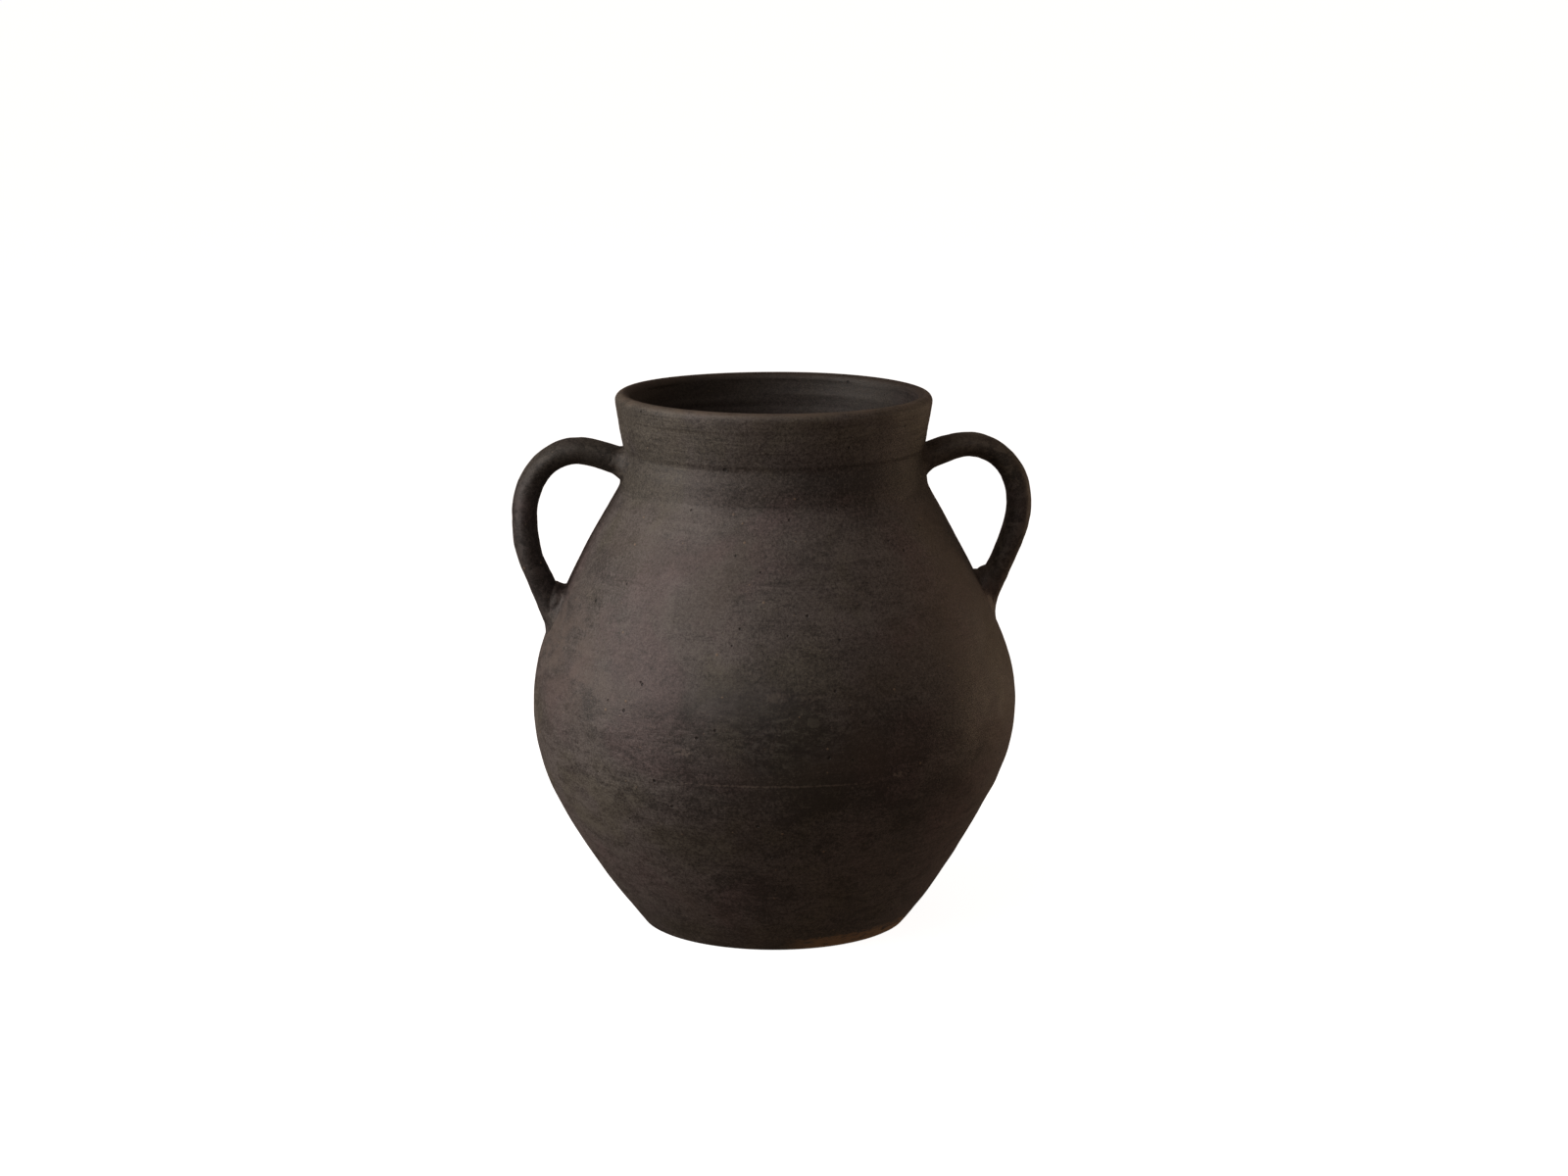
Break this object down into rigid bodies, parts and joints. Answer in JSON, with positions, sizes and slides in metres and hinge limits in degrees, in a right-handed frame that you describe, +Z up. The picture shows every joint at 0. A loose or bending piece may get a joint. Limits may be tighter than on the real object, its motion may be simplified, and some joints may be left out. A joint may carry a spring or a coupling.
{
  "type": "two-handled clay jar",
  "caption": "Round-bellied black clay jar with a short neck, a flaring collar and strap handles from neck to shoulder, for holding water, grain or flowers.",
  "frame": {"origin": "on the floor under the jar's axis, at the centre of the flat foot", "axes": "+Z up along the jar's axis, handles along -X and +X, -Y towards the viewer"},
  "size_m": [0.2908, 0.2706, 0.3],
  "materials": {
    "body_clay": "matte, unglazed, smoke-blackened",
    "handle_clay": "matte, unglazed, smoke-blackened",
    "luting_clay": "matte, unglazed, hand-smeared"
  },
  "bodies": {
    "root": {"base_disc": "body_clay", "lower_bowl": "body_clay", "shoulder_wall": "body_clay", "neck_band": "body_clay", "rim_collar": "body_clay", "left_handle": "handle_clay", "right_handle": "handle_clay", "left_upper_luting": "luting_clay", "left_lower_luting": "luting_clay", "right_upper_luting": "luting_clay", "right_lower_luting": "luting_clay"}
  },
  "joints": []
}
